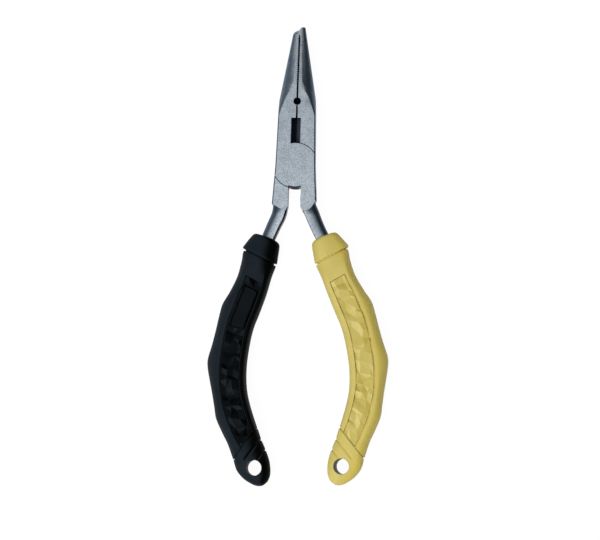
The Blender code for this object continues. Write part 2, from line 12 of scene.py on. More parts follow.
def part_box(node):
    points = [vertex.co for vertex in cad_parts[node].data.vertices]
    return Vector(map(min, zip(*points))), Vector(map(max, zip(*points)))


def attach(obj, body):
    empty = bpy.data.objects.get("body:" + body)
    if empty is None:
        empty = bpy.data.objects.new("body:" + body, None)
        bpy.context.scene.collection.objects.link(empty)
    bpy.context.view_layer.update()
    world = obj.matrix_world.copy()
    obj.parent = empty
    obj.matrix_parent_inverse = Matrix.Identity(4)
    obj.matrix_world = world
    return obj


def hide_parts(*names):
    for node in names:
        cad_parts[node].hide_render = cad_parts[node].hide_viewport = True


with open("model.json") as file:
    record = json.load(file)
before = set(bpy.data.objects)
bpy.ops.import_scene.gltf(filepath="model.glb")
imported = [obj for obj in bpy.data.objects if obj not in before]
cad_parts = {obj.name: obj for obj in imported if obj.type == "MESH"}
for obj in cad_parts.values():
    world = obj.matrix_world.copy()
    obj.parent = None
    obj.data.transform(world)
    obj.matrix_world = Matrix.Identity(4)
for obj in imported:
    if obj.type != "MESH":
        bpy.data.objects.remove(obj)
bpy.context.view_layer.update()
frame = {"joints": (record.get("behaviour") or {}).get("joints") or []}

# --- Steel stock: the material of the forgings -----------------------------------------------------
# Both halves are drop-forged from tool steel and bead-blasted after grinding. The blasting leaves a
# cool grey satin skin with a fine speckle, and handling polishes it a little where it is proud.

mm = 0.001


class Maths:
    """A node's value that takes arithmetic, and adds the nodes it needs to its tree."""

    def __init__(self, tree, socket):
        self.tree = tree
        self.socket = socket

    def _with(self, operation, first, second):
        return self.tree.node("ShaderNodeMath", {"operation": operation}, {0: first, 1: second})

    def __add__(self, other):
        return self._with("ADD", self, other)

    __radd__ = __add__

    def __mul__(self, other):
        return self._with("MULTIPLY", self, other)

    __rmul__ = __mul__

    def __sub__(self, other):
        return self._with("SUBTRACT", self, other)

    def __rsub__(self, other):
        return self._with("SUBTRACT", other, self)

    def __truediv__(self, other):
        return self._with("DIVIDE", self, other)

    def __pow__(self, other):
        return self._with("POWER", self, other)

    def output(self, name):
        """Another output of the same node."""
        return Maths(self.tree, self.socket.node.outputs[name])


class Tree:
    """A node tree, with one method that makes any node: its settings first, then its inputs."""

    def __init__(self, tree):
        self.nodes = tree.nodes
        self.links = tree.links

    def node(self, kind, settings, inputs, output=0):
        made = self.nodes.new(kind)
        for key, value in settings.items():
            setattr(made, key, value)
        for key, value in inputs.items():
            if isinstance(value, Maths):
                self.links.new(value.socket, made.inputs[key])
            else:
                made.inputs[key].default_value = value
        return Maths(self, made.outputs[output])


class Finish(Tree):
    """The shader of a material or a world."""

    def __init__(self, owner, **constants):
        owner.use_nodes = True
        super().__init__(owner.node_tree)
        self.owner = owner
        self.shader = self.nodes[0] if self.nodes[0].outputs else self.nodes[1]
        for socket, value in constants.items():
            self.shader.inputs[socket.replace("_", " ")].default_value = value
        self.place = self.node("ShaderNodeTexCoord", {}, {}, "Object")

    def noise(self, size, detail=2.0, roughness=0.5, place=None):
        """Noise whose blotches are about this size, in metres, from 0 to 1."""
        inputs = {"Vector": place or self.place, "Scale": 1 / size, "Detail": detail}
        inputs["Roughness"] = roughness
        return self.node("ShaderNodeTexNoise", {}, inputs)

    def step(self, value, low, high):
        """0 below low, 1 above high, and a smooth rise between them."""
        settings = {"interpolation_type": "SMOOTHSTEP"}
        return self.node("ShaderNodeMapRange", settings, {0: value, 1: low, 2: high})

    def band(self, value, rise, fall):
        """1 between a rise and a fall, which each have a start and an end, and 0 outside them."""
        return self.step(value, *rise) * self.step(value, *fall)

    def blend(self, share, first, second):
        """A colour between two colours."""
        return self.node("ShaderNodeMix", {"data_type": "RGBA"}, {0: share, 6: first, 7: second}, 2)

    def set(self, socket, value):
        """Links a value to one of the shader's inputs."""
        self.links.new(value.socket, self.shader.inputs[socket])

    def bump(self, height, depth, strength=1.0):
        """Relief of this depth, in metres, into the normal."""
        inputs = {"Height": height, "Distance": depth, "Strength": strength}
        self.set("Normal", self.node("ShaderNodeBump", {}, inputs))

    def dot(self, vector, direction):
        """How far a vector goes along a direction."""
        inputs = {0: vector, 1: direction}
        return self.node("ShaderNodeVectorMath", {"operation": "DOT_PRODUCT"}, inputs, "Value")

    def facing(self, direction):
        """How far the surface faces this way, from -1 to 1."""
        return self.dot(self.node("ShaderNodeTexCoord", {}, {}, "Normal"), direction)

    def size(self, value):
        """The value without its sign."""
        return self.node("ShaderNodeMath", {"operation": "ABSOLUTE"}, {0: value})

    def either(self, first, second):
        """The greater of two values."""
        return self.node("ShaderNodeMath", {"operation": "MAXIMUM"}, {0: first, 1: second})


pivot = Vector(frame["joints"][0]["pos_m"])
head_lean = math.radians(2.4)
steel = Finish(bpy.data.materials.new("blasted_steel"), Metallic=1.0)
speckle = steel.noise(0.42 * mm, 4.0, 0.7)
cloud = steel.noise(3.5 * mm, 4.0, 0.55)
scuff = steel.step(steel.noise(1.6 * mm, 5.0, 0.7), 0.60, 0.72)
# Faces turned up or down take the lighter face colour. The darker flanks are partly a forged finish and
# partly painted shade.
upright = steel.size(steel.facing((0, 0, 1)))
ground = steel.step(upright, 0.86, 0.985)
tone = steel.step(speckle * 0.9 + cloud * 0.2, 0.43, 0.67)
flank_colour = steel.blend(tone, (0.095, 0.132, 0.175, 1), (0.180, 0.230, 0.285, 1))
face_colour = steel.blend(tone, (0.250, 0.285, 0.320, 1), (0.455, 0.490, 0.525, 1))
steel_colour = steel.blend(ground, flank_colour, face_colour)
steel_colour = steel.blend(scuff * 0.25, steel_colour, (0.50, 0.545, 0.59, 1))

# Painted shade darkens the steel's colour in the places below. Its places are in the head's own
# axes, from the pivot: across the jaws, along them to the nose, and through them
from_pivot = steel.node("ShaderNodeVectorMath", {"operation": "SUBTRACT"}, {0: steel.place, 1: pivot})
off_line = steel.size(steel.dot(from_pivot, (math.cos(head_lean), -math.sin(head_lean), 0)))
along_jaws = steel.dot(from_pivot, (math.sin(head_lean), math.cos(head_lean), 0))
height = steel.size(steel.dot(from_pivot, (0, 0, 1)))

# Painted shade on the sides that face right or towards the grips, most of all on the tangs
right_side = steel.step(steel.facing((1, 0, 0)), 0.08, 0.40)
grip_side = steel.step(steel.facing((0, -1, 0)), 0.3, 0.6)
on_tang = steel.step(along_jaws, -5 * mm, -12 * mm)
away = steel.either(right_side, grip_side) * (0.30 + on_tang * 0.34)

# Painted shade at the steps where the necks end, on the long chamfers of the head, and over its upper
# half
neck_foot = steel.band(along_jaws, (-18.6 * mm, -16.4 * mm), (-9 * mm, -11 * mm))
under_neck = neck_foot * steel.step(off_line, 3.4 * mm, 6.0 * mm) * steel.step(height, 3.5 * mm, 3.4 * mm)
chamfers = steel.step(off_line, 6.3 * mm, 6.5 * mm) * steel.step(along_jaws, 20 * mm, 17 * mm)
upper_head = steel.band(along_jaws, (-9 * mm, 10 * mm), (30 * mm, 22 * mm))

# Painted shade, near black, on the walls and the land between the jaws, but for a rim of the crimping
# hole that catches the light
core = steel.step(height, 0.6 * mm, 0.3 * mm)
walls = steel.step(upright, 0.5, 0.2)
slot = steel.step(off_line, 1.5 * mm, 1.38 * mm) * steel.step(along_jaws, 49.6 * mm, 49.3 * mm)
lit_rim = steel.band(along_jaws, (21.9 * mm, 22.5 * mm), (23.5 * mm, 23.0 * mm))
between = steel.either(core, walls) * slot * (1 - lit_rim * 0.75)

# Each share lays its painted shade colour over the steel
for share, colour in (
    (away, (0.020, 0.028, 0.040, 1)),
    (under_neck * 0.75, (0.030, 0.045, 0.065, 1)),
    (chamfers * (1 - ground) * 0.55, (0.050, 0.080, 0.115, 1)),
    (upper_head * 0.13, (0.16, 0.18, 0.20, 1)),
    (between, (0.004, 0.005, 0.007, 1)),
):
    steel_colour = steel.blend(share, steel_colour, colour)
steel.set("Base Color", steel_colour)
steel.set("Roughness", 0.34 + speckle * 0.12 + cloud * 0.06 - scuff * 0.06 + between * 0.3)
steel.bump(speckle, 0.03 * mm, 0.55)

# --- The forgings ----------------------------------------------------------------------------------
# Each half is one forging: jaw, lap and tang. Both start as the same leaning blank, a flat head that
# runs into a half-round nose. The other half's share is milled away, and the lap is turned round.

head_low, head_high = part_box("front_half")
head_half_thick = (head_high.z - head_low.z) / 2
nose_length = 52.05 * mm
head_half_width = 7.36 * mm
lap_radius = 8.3 * mm
lap_gap = 0.16 * mm
far = 80 * mm


def mesh_object(name, points, faces):
    """An object from points and faces, with its faces turned outwards."""
    mesh = bpy.data.meshes.new(name)
    mesh.from_pydata([tuple(p) for p in points], [], faces)
    bm = bmesh.new()
    bm.from_mesh(mesh)
    bmesh.ops.remove_doubles(bm, verts=bm.verts, dist=1e-8)
    bmesh.ops.recalc_face_normals(bm, faces=bm.faces)
    bm.to_mesh(mesh)
    bm.free()
    made = bpy.data.objects.new(name, mesh)
    bpy.context.scene.collection.objects.link(made)
    return made


def skin(name, rings):
    """A closed solid over rings of equally many points, with flat ends."""
    around = len(rings[0])
    points = [point for ring in rings for point in ring]
    faces = []
    for i in range(len(rings) - 1):
        for j in range(around):
            k = (j + 1) % around
            a, b = i * around, (i + 1) * around
            faces.append((a + j, a + k, b + k, b + j))
    faces.append(tuple(range(around)))
    faces.append(tuple(range(len(points) - around, len(points))))
    return mesh_object(name, points, faces)


def slab(name, outline, low, high):
    """A flat outline with straight walls, from low to high."""
    return skin(name, [[(x, y, z) for x, y in outline] for z in (low, high)])


def turned(name, profile, centre=(0.0, 0.0), segments=128):
    """A solid of revolution round +Z. The profile is (radius, height), from the bottom to the top."""
    angles = [2 * math.pi * i / segments for i in range(segments)]
    rings = []
    for radius, height in profile:
        ring = [(centre[0] + radius * math.cos(a), centre[1] + radius * math.sin(a)) for a in angles]
        rings.append([(x, y, height) for x, y in ring])
    return skin(name, rings)


def plain_mesh(piece):
    """Makes the evaluated mesh the piece's own, and clears its modifiers."""
    bpy.context.view_layer.update()
    evaluated = piece.evaluated_get(bpy.context.evaluated_depsgraph_get())
    piece.data = bpy.data.meshes.new_from_object(evaluated)
    piece.modifiers.clear()


def shape_with(piece, tools, operation="DIFFERENCE"):
    """Cuts or joins the piece with the tools one by one, and removes the tools."""
    for tool in tools:
        modifier = piece.modifiers.new(tool.name, "BOOLEAN")
        modifier.operation = operation
        modifier.solver = "EXACT"
        modifier.object = tool
    plain_mesh(piece)
    for tool in tools:
        bpy.data.objects.remove(tool)


def finish_piece(piece, finish, body, node, crease):
    """Smooths a piece up to the crease angle, in degrees, and puts it in place of its CAD node."""
    piece.data.materials.clear()
    piece.data.materials.append(finish.owner)
    piece.data.shade_smooth()
    piece.data.set_sharp_from_angle(angle=math.radians(crease))
    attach(piece, body)
    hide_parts(node)


def arc(radius, start, end, count, centre=(0.0, 0.0)):
    """Points along an arc, in degrees, both ends included."""
    angles = [math.radians(start + (end - start) * i / (count - 1)) for i in range(count)]
    return [(centre[0] + radius * math.cos(a), centre[1] + radius * math.sin(a)) for a in angles]


def curve_through(rows, steps):
    """Rows of numbers on a smooth curve through the given rows, with steps rows for each span."""
    ends = np.array([rows[0], *rows, rows[-1]], float)
    made = []
    for i in range(len(rows) - 1):
        before, start, end, after = ends[i : i + 4]
        for t in np.arange(steps) / steps:
            square, cube = t * t, t * t * t
            row = 2 * start + (end - before) * t
            row = row + (2 * before - 5 * start + 4 * end - after) * square
            row = row + (3 * start - before - 3 * end + after) * cube
            made.append(row / 2)
    made.append(ends[-1])
    return np.array(made)


# The cone's half height, as a share of the head's, at distances back from the nose's point
nose_backs = np.array([-0.95, 4.05, 10.05, 15.05, 18.05, 21.35, 24.15, 26.35, 28.65, 30.95, 33.15]) * mm
nose_shares = [0.33, 0.47, 0.67, 0.84, 0.95, 1.052, 1.1135, 1.248, 1.389, 1.595, 1.80]
nose_tip_half_width = 2.05 * mm
nose_half_angle = math.radians(9.84)
cone_widest = 1.183
ground_share = 0.965
side_lean = math.radians(21)
edge_chamfer = 0.42 * mm


def head_section(y):
    """The blank's section across both jaws: a soft-sided cone, ground flat on its faces and sides."""
    back = nose_length - y
    taper = 0.024 if y > 0 else 0.060
    side = head_half_width - y * taper
    wide = min(nose_tip_half_width + back * math.tan(nose_half_angle), side * cone_widest)
    high = float(np.interp(back, nose_backs, nose_shares)) * head_half_thick
    top = min(head_half_thick, ground_share * high)
    flat = wide * math.sqrt(1 - (top / high) ** 2)
    lean = math.tan(side_lean) * min(1.0, back / (30 * mm) + 0.35)
    shoulder = top - (wide - flat) * lean
    shares = np.linspace(0, 1, 22)
    across = flat * (1 - shares) ** 2 + wide * (2 * shares * (1 - shares) + shares**2)
    height = top * (1 - shares) ** 2 + shoulder * 2 * shares * (1 - shares)
    across = np.minimum(across, side)
    over = np.clip(across + height - side - top + edge_chamfer, 0, None) / 2
    across, height = across - over, height - over
    across[0], height[0] = min(flat, side - edge_chamfer), top
    quadrant = [(across[0] * 0.55, top), (across[0] - 0.12 * mm, top), *zip(across, height)]
    right = quadrant + [(x, -z) for x, z in reversed(quadrant[:-1])]
    return [(x, y, z) for x, z in right + [(-x, -z) for x, z in right]]


def blank(name):
    """The forged blank, from the neck to the nose's point."""
    straight = [-17.6 * mm, -8 * mm, 0.0, 8 * mm]
    nose = np.linspace(15 * mm, nose_length, 90)
    return skin(name, [head_section(float(y)) for y in [*straight, *nose]])


teeth_start = 30.2 * mm
tooth_pitch = 0.75 * mm
tooth_count = 24
tooth_fill = 0.48
jaw_half_gap = 0.2 * mm
tooth_depth = 0.3 * mm
relief = 0.33 * mm
window_half = {-1: 2.05 * mm, 1: 1.62 * mm}
window_top = 17.7 * mm
crimp_centre = 23.9 * mm
crimp_radius = 1.3 * mm
jaw_end = 49.5 * mm
hook_gap = 0.3 * mm
core_half = 0.2 * mm
touch = 0.012 * mm


class Recipe(Tree):
    """A Geometry Nodes tree, from the names and kinds of its inputs."""

    def __init__(self, name, kinds):
        self.owner = bpy.data.node_groups.new(name, "GeometryNodeTree")
        super().__init__(self.owner)
        for label, kind in kinds.items():
            self.owner.interface.new_socket(label, in_out="INPUT", socket_type=f"NodeSocket{kind}")
        self.owner.interface.new_socket("Geometry", in_out="OUTPUT", socket_type="NodeSocketGeometry")
        source = self.nodes.new("NodeGroupInput")
        self.given = {label: Maths(self, source.outputs[label]) for label in kinds}

    def vector(self, x, y, z):
        """A vector from three values."""
        return self.node("ShaderNodeCombineXYZ", {}, {0: x, 1: y, 2: z})

    def end(self, geometry, material):
        """Makes the geometry real, gives it its material, and puts it out."""
        real = self.node("GeometryNodeRealizeInstances", {}, {0: geometry})
        painted = self.node("GeometryNodeSetMaterial", {}, {"Geometry": real, "Material": material})
        self.links.new(painted.socket, self.nodes.new("NodeGroupOutput").inputs[0])

    def run(self, piece, values):
        """Runs the tree on a piece with these inputs, and keeps what it makes as the piece's mesh."""
        modifier = piece.modifiers.new(self.owner.name, "NODES")
        modifier.node_group = self.owner
        for item in self.owner.interface.items_tree:
            if item.in_out == "INPUT" and item.name in values:
                modifier[item.identifier] = values[item.name]
        plain_mesh(piece)


def tooth_cutters(name, side, level):
    """Geometry Nodes: one four-sided cutter for each tooth gap, in a row along the jaw's face."""
    recipe = Recipe(name, {"Pitch": "Float", "Depth": "Float", "Height": "Float", "Count": "Int"})
    pitch, depth, height, count = recipe.given.values()
    places = {"Count": count, "Offset": recipe.vector(0, pitch, 0)}
    line = recipe.node("GeometryNodeMeshLine", {}, places)
    four_sided = {"Vertices": 4, "Radius": 1.0, "Depth": height}
    cutter = recipe.node("GeometryNodeMeshCylinder", {}, four_sided, "Mesh")
    squeeze = {"Geometry": cutter, "Scale": recipe.vector(depth, pitch * tooth_fill, 1)}
    cutter = recipe.node("GeometryNodeTransform", {}, squeeze)
    row = recipe.node("GeometryNodeInstanceOnPoints", {}, {"Points": line, "Instance": cutter})
    recipe.end(row, steel.owner)
    cutters = mesh_object(name, [], [])
    sizes = {"Pitch": tooth_pitch, "Depth": tooth_depth, "Height": 2 * head_half_thick}
    recipe.run(cutters, {**sizes, "Count": tooth_count})
    lift = level * (head_half_thick + core_half + 0.05 * mm)
    first = teeth_start + tooth_pitch / 2
    cutters.data.transform(Matrix.Translation((side * jaw_half_gap, first, lift)))
    return cutters


def beside_jaw(side, hooked):
    """The space of the other jaw: what is milled away beside this one, from the lap's rim outwards."""
    overrun = math.degrees(math.asin(lap_gap / 2 / lap_radius))
    rim = arc(lap_radius, 180 + overrun, math.degrees(math.acos(window_half[side] / lap_radius)), 72)
    face = [(window_half[side], window_top), (touch, window_top)]
    if hooked:
        floor = jaw_end + hook_gap
        rest = [(touch, floor), (-far, floor)]
    else:
        rest = [(touch, jaw_end), (far, jaw_end), (far, far), (-far, far)]
    return [(side * x, y) for x, y in rim + face + rest + [(-far, rim[0][1])]]


def jaw_relief(side):
    """The clearance beside the jaw's core: a slot, the crimping hole, and the depth of the teeth."""
    half_angle = math.degrees(math.acos(relief / crimp_radius))
    hole = arc(crimp_radius, -half_angle, half_angle, 33, (0.0, crimp_centre))
    outline = [(-mm, window_top - mm), (relief, window_top - mm), *hole, (relief, teeth_start)]
    outline += [(jaw_half_gap, teeth_start), (jaw_half_gap, far), (-mm, far)]
    return [(side * x, y) for x, y in outline]


notch_half = 2.35 * mm
# Where each neck's face ends, from its inner corner outwards, in millimetres
neck_end = {
    -1: [(2.35, -15.3), (3.15, -16.85), (4.6, -16.35), (6.2, -15.55), (7.4, -14.9), (9.5, -13.9)],
    1: [(2.35, -15.3), (3.15, -16.85), (4.9, -16.5), (6.4, -15.4), (7.3, -14.0), (8.6, -11.6)],
}


def beside_neck(side):
    """What is cut away beside and below this half's neck: the other neck, the notch and the end."""
    overrun = math.degrees(math.asin(lap_gap / 2 / lap_radius))
    rim = arc(lap_radius, overrun, -math.degrees(math.acos(-notch_half / lap_radius)), 72)
    end = [neck_end[-side][0], *curve_through(neck_end[-side][1:], 6)]
    rest = [(-x * mm, y * mm) for x, y in end]
    beyond = [(-far, rest[-1][1]), (-far, -far), (far, -far), (far, rim[0][1])]
    return [(side * x, y) for x, y in rim + rest + beyond]


def notch_chamfer():
    """The broken edge of the front lap, where it shows in the notch between the necks."""
    width = 0.5 * mm
    half = notch_half - 0.02 * mm
    rings = []
    for radius, height in ((lap_radius, -width), (lap_radius - 2 * width, width)):
        swing = math.degrees(math.asin(half / radius))
        rim = arc(radius, -90 - swing, -90 + swing, 24)
        outline = [*rim, (half, -far), (-half, -far)]
        rings.append([(x, y, head_half_thick + height) for x, y in outline])
    return skin("notch_chamfer", rings)


def lap_recess(name, front):
    """The round recess that the other lap turns in, with a broken edge where it meets the face."""
    radius = lap_radius + lap_gap
    chamfer = 0.14 * mm
    sign = -1 if front else 1
    rim = sign * head_half_thick
    profile = [(radius, sign * -lap_gap / 2), (radius, rim - sign * chamfer)]
    profile += [(radius + 4 * chamfer, rim + sign * 3 * chamfer)]
    return turned(name, profile if sign > 0 else profile[::-1])


def crimp_countersinks():
    """Shallow cones that break the crimp hole's two rims."""
    depth = 0.12 * mm
    made = []
    for sign in (1, -1):
        rim = sign * head_half_thick
        profile = [(crimp_radius, rim - sign * depth)]
        profile += [(crimp_radius + 4 * depth, rim + sign * 3 * depth)]
        ordered = profile if sign > 0 else profile[::-1]
        made.append(turned(f"countersink_{sign}", ordered, (0.0, crimp_centre), 64))
    return made


# The tang's middle line, width and half height, in millimetres; its first places are in the neck
tang_neck = [(5.1, -9.5, 5.45, 3.3), (5.15, -14.0, 5.5, 3.3)]
tang_route = [
    (6.25, -18.3, 5.35, 3.1),
    (8.5, -23.6, 5.1, 2.8),
    (13.1, -33.8, 4.9, 2.65),
    (16.9, -43.6, 4.8, 2.6),
    (20.9, -53.2, 4.7, 2.55),
]
tang_chamfer = {-1: 0.66 * mm, 1: 0.22 * mm}
tang_squareness = {-1: 2.15, 1: 2.7}
spread_most = {-1: 0.58 * mm, 1: -0.25 * mm}
spread_fade = {-1: (-50 * mm, -36 * mm), 1: (-31 * mm, -24 * mm)}


def smooth(value, low, high):
    """0 below low, 1 above high, and a smooth rise between them."""
    share = min(1.0, max(0.0, (value - low) / (high - low)))
    return share * share * (3 - 2 * share)


def spread(side, y):
    """How far out this side's tang and collar stand: the two handles are not quite alike."""
    fade_low, fade_high = spread_fade[side]
    return spread_most[side] * smooth(y, fade_low, fade_high) * (1 - smooth(y, -22 * mm, -14 * mm))


def tang_rings(side, grow=0.0, whole=True):
    """D-shaped sections along the tang: round outside, with the inner side's corners broken."""
    lean = Matrix.Rotation(-head_lean, 2)
    neck = [(*(lean @ Vector((side * x, y))), w, h) for x, y, w, h in tang_neck]
    route = [(side * x, y, w, h) for x, y, w, h in tang_route]
    rows = curve_through(neck + route if whole else route[1:4], 12) * mm
    rows[:, 0] += [side * spread(side, y) for y in rows[:, 1]]
    corner = tang_chamfer[side]
    squareness = tang_squareness[side]
    rings = []
    for i, (x, y, width, height) in enumerate(rows):
        ahead, behind = rows[min(i + 1, len(rows) - 1)], rows[max(i - 1, 0)]
        along = Vector((ahead[0] - behind[0], ahead[1] - behind[1], 0)).normalized()
        outward = Vector((-along.y, along.x, 0)) * side
        section = [(-width / 2 - grow, height - corner * 1.1)]
        start = math.acos((corner / width) ** (squareness / 2))
        for a in np.linspace(start, -start, 64):
            across = math.cos(a) ** (2 / squareness)
            up = math.copysign(abs(math.sin(a)) ** (2 / squareness), a)
            section.append(((width + grow) * across - width / 2, (height + grow) * up))
        section.append((-width / 2 - grow, corner * 1.1 - height))
        centre = Vector((x, y, 0))
        rings.append([centre + outward * a + Vector((0, 0, z)) for a, z in section])
    return rings


def faced_off():
    """What the grinder takes off both faces of the head, neck and tang."""
    corners = [(-far, -far), (far, -far), (far, far), (-far, far)]
    face = head_half_thick - 0.003 * mm
    return [slab("faced_off", corners, face, far), slab("faced_off_below", corners, -far, -face)]


rivet_radius = 2.4 * mm
rivet_head = 3.6 * mm
rivet_play = 0.08 * mm
rivet_shank_end = 2.3 * mm
rivet_head_depth = 1.28 * mm


def rivet_seat(front):
    """The blind hole in the front lap, or the bore and counterbore in the back lap."""
    bore = rivet_radius + rivet_play
    if front:
        return turned("rivet_seat", [(bore, -far), (bore, lap_gap / 2 + rivet_shank_end)])
    wide = rivet_head + rivet_play
    shelf = -head_half_thick + rivet_head_depth
    return turned("rivet_seat", [(wide, -far), (wide, shelf), (bore, shelf), (bore, far)])


hook_tip = 0.9 * mm
hook_slope = 2.4 / 3.25


def forging(name, jaw_side, node, body):
    """One finished half. jaw_side is -1 for the half with the left jaw and the front lap."""
    front = jaw_side < 0
    piece = blank(name)
    tools = [
        slab("beside_jaw", beside_jaw(jaw_side, not front), -far, far),
        slab("relief_above", jaw_relief(jaw_side), core_half, far),
        slab("relief_below", jaw_relief(jaw_side), -far, -core_half),
        tooth_cutters("teeth_above", jaw_side, 1),
        tooth_cutters("teeth_below", jaw_side, -1),
        slab("beside_neck", beside_neck(jaw_side), -far, far),
        lap_recess("lap_recess", front),
        rivet_seat(front),
        *crimp_countersinks(),
    ]
    if front:
        tools.append(notch_chamfer())
    else:
        slant = [(x, nose_length + hook_slope * (x - hook_tip)) for x in (hook_tip + far, -far)]
        beyond = [(-far, 2 * far), (hook_tip + far, 2 * far)]
        tools.append(slab("hook_slant", slant + beyond, -far, far))
    shape_with(piece, tools)
    piece.data.transform(Matrix.Rotation(-head_lean, 4, "Z"))
    shape_with(piece, [skin("tang", tang_rings(-jaw_side))], "UNION")
    shape_with(piece, faced_off())
    piece.data.transform(Matrix.Translation(pivot))
    finish_piece(piece, steel, body, node, 24)


forging("front_forging", -1, "front_half", "front_body")
forging("back_forging", 1, "back_half", "back_body")

# --- Cutter blades ---------------------------------------------------------------------------------
# Two hardened blades stand in the window between the jaws, edge to edge. Each is ground to a wedge
# from both faces, with a narrow honed land at the edge, and is left dark by its heat treatment. The
# bevel that faces right is darkened near black by painted shade.

blade_steel = Finish(bpy.data.materials.new("blade_steel"), Metallic=1.0)
stretched = {"Vector": blade_steel.place, "Scale": (6.0, 1.0, 6.0)}
grind_lines = blade_steel.noise(
    0.35 * mm, 3.0, 0.6, blade_steel.node("ShaderNodeMapping", {}, stretched)
)
blade_cloud = blade_steel.noise(1.2 * mm, 3.0)
bevel_colour = blade_steel.blend(blade_cloud, (0.17, 0.20, 0.27, 1), (0.23, 0.27, 0.35, 1))
# Painted shade: the bevel that faces right is made near black
unlit_bevel = blade_steel.step(blade_steel.facing((1, 0, 0)), -0.1, 0.1)
blade_steel.set(
    "Base Color", blade_steel.blend(unlit_bevel * 0.93, bevel_colour, (0.002, 0.002, 0.003, 1))
)
blade_steel.set("Roughness", 0.42 + grind_lines * 0.2)
blade_steel.bump(grind_lines, 0.02 * mm, 0.6)


edge_gap = 0.002 * mm
land_half = 0.08 * mm


def blade(name, side, node, body):
    """A wedge with a honed land, as long as the window it stands in."""
    low = lap_radius + lap_gap
    high = window_top - 0.05 * mm
    wall = window_half[side] - 0.03 * mm
    tall = head_half_thick - 0.25 * mm
    upper = [(wall, tall), (wall - 0.15 * mm, tall), (wall - 0.25 * mm, 1.5 * mm), (edge_gap, land_half)]
    section = upper + [(x, -z) for x, z in reversed(upper)]
    rings = [[(side * x, y, z) for x, z in section] for y in np.linspace(low, high, 12)]
    piece = skin(name, rings)
    piece.data.transform(Matrix.Translation(pivot) @ Matrix.Rotation(-head_lean, 4, "Z"))
    finish_piece(piece, blade_steel, body, node, 20)


blade("left_cutter", -1, "cutter_blade_left", "front_body")
blade("right_cutter", 1, "cutter_blade_right", "back_body")

# --- Rivet -----------------------------------------------------------------------------------------
# A turned steel rivet joins the laps. Its shank is pressed into the front lap from behind and turns in
# the back lap, so the front face stays plain. Its head is faced off flush, with a centre mark.

rivet_steel = Finish(bpy.data.materials.new("rivet_steel"), Metallic=1.0)
off_centre = rivet_steel.node(
    "ShaderNodeMapping", {"vector_type": "TEXTURE"}, {"Vector": rivet_steel.place, "Location": pivot}
)
facing_rings = rivet_steel.node(
    "ShaderNodeTexWave",
    {"wave_type": "RINGS", "rings_direction": "Z"},
    {"Vector": off_centre, "Scale": 1 / (1.1 * mm), "Distortion": 1.5, "Detail": 3.0},
    1,
)
rivet_cloud = rivet_steel.noise(0.9 * mm, 4.0)
rivet_steel.set(
    "Base Color", rivet_steel.blend(rivet_cloud, (0.37, 0.40, 0.43, 1), (0.52, 0.55, 0.58, 1))
)
rivet_steel.set("Roughness", 0.24 + facing_rings * 0.10 + rivet_cloud * 0.08)
rivet_steel.bump(facing_rings, 0.012 * mm, 0.6)

rivet_low, rivet_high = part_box("pivot_rivet")
back_face = rivet_low.z - pivot.z
shelf = back_face + 1.1 * mm
top = rivet_high.z - pivot.z
profile = [
    (0.05 * mm, back_face + 0.32 * mm),
    (0.45 * mm, back_face + 0.10 * mm),
    (0.62 * mm, back_face),
    (rivet_head - 0.62 * mm, back_face),
    (rivet_head - 0.30 * mm, back_face + 0.06 * mm),
    (rivet_head - 0.08 * mm, back_face + 0.22 * mm),
    (rivet_head, back_face + 0.42 * mm),
    (rivet_head, shelf),
    (rivet_radius, shelf),
    (rivet_radius, top - 0.25 * mm),
    (rivet_radius - 0.25 * mm, top),
]
rivet = turned("rivet", profile)
rivet.data.transform(Matrix.Translation(pivot))
finish_piece(rivet, rivet_steel, "front_body", "pivot_rivet", 25)

# --- Grips -----------------------------------------------------------------------------------------
# Each tang is moulded into a thick grip. A collar flares over a deep groove, rails run beside a sunk
# panel on both faces, and slanting grooves part off the end, which has a hole for a lanyard.

grip_low, grip_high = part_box("yellow_grip")
full = (grip_high.z - grip_low.z) / 2 / mm

# Places down the grip: inner edge x and y, outer edge x and y, half thickness, in millimetres
collar_rows = [
    (7.35, -27.5, 14.2, -24.95, 3.9),
    (6.35, -28.3, 14.8, -24.95, 4.5),
    (5.75, -29.3, 15.6, -25.4, 4.85),
    (5.85, -31.0, 16.8, -26.7, 5.15),
    (6.25, -33.4, 18.1, -28.3, 5.45),
    (6.65, -35.9, 19.25, -29.8, 5.7),
    (6.95, -36.35, 19.1, -30.3, 5.6),
]
sleeve_rows = [
    (7.2, -37.15, 18.85, -31.15, 5.55),
    (7.5, -38.0, 19.3, -32.0, 5.7),
    (9.1, -41.6, 19.95, -35.6, full),
    (10.95, -46.7, 21.6, -40.7, full),
    (12.85, -51.7, 24.8, -46.4, full),
    (14.4, -55.6, 27.55, -50.7, full),
    (15.9, -59.2, 28.95, -55.3, full),
    (17.1, -63.3, 30.15, -60.3, full),
    (18.0, -67.8, 31.6, -65.7, full),
    (18.65, -72.0, 33.2, -70.9, full),
    (18.95, -75.2, 33.35, -74.2, full),
    (19.05, -78.6, 32.6, -79.2, full),
    (18.9, -82.0, 31.75, -84.0, full),
    (18.5, -85.0, 31.0, -89.0, full),
    (17.7, -88.5, 30.35, -93.2, full),
    (16.9, -91.3, 28.2, -98.3, full),
    (16.1, -93.9, 26.1, -102.7, full),
    (15.25, -96.5, 24.2, -108.2, 5.75),
]
cap_rows = [
    (15.0, -97.0, 24.0, -108.8, 5.7),
    (13.7, -101.0, 22.9, -112.3, 5.3),
    (12.15, -104.8, 20.6, -115.2, 4.9),
    (10.95, -108.4, 18.2, -116.9, 4.55),
    (10.5, -111.5, 16.3, -117.85, 4.0),
    (10.55, -113.8, 14.6, -118.15, 3.1),
    (10.95, -115.3, 13.3, -117.9, 2.0),
    (11.55, -116.5, 12.3, -117.2, 0.7),
]
panel_inner, panel_outer = 2.5 * mm, 9.6 * mm
panel_sink = 1.0 * mm
rail_width = 0.75 * mm
full_width = 13.0 * mm
inner_round = 1.5 * mm


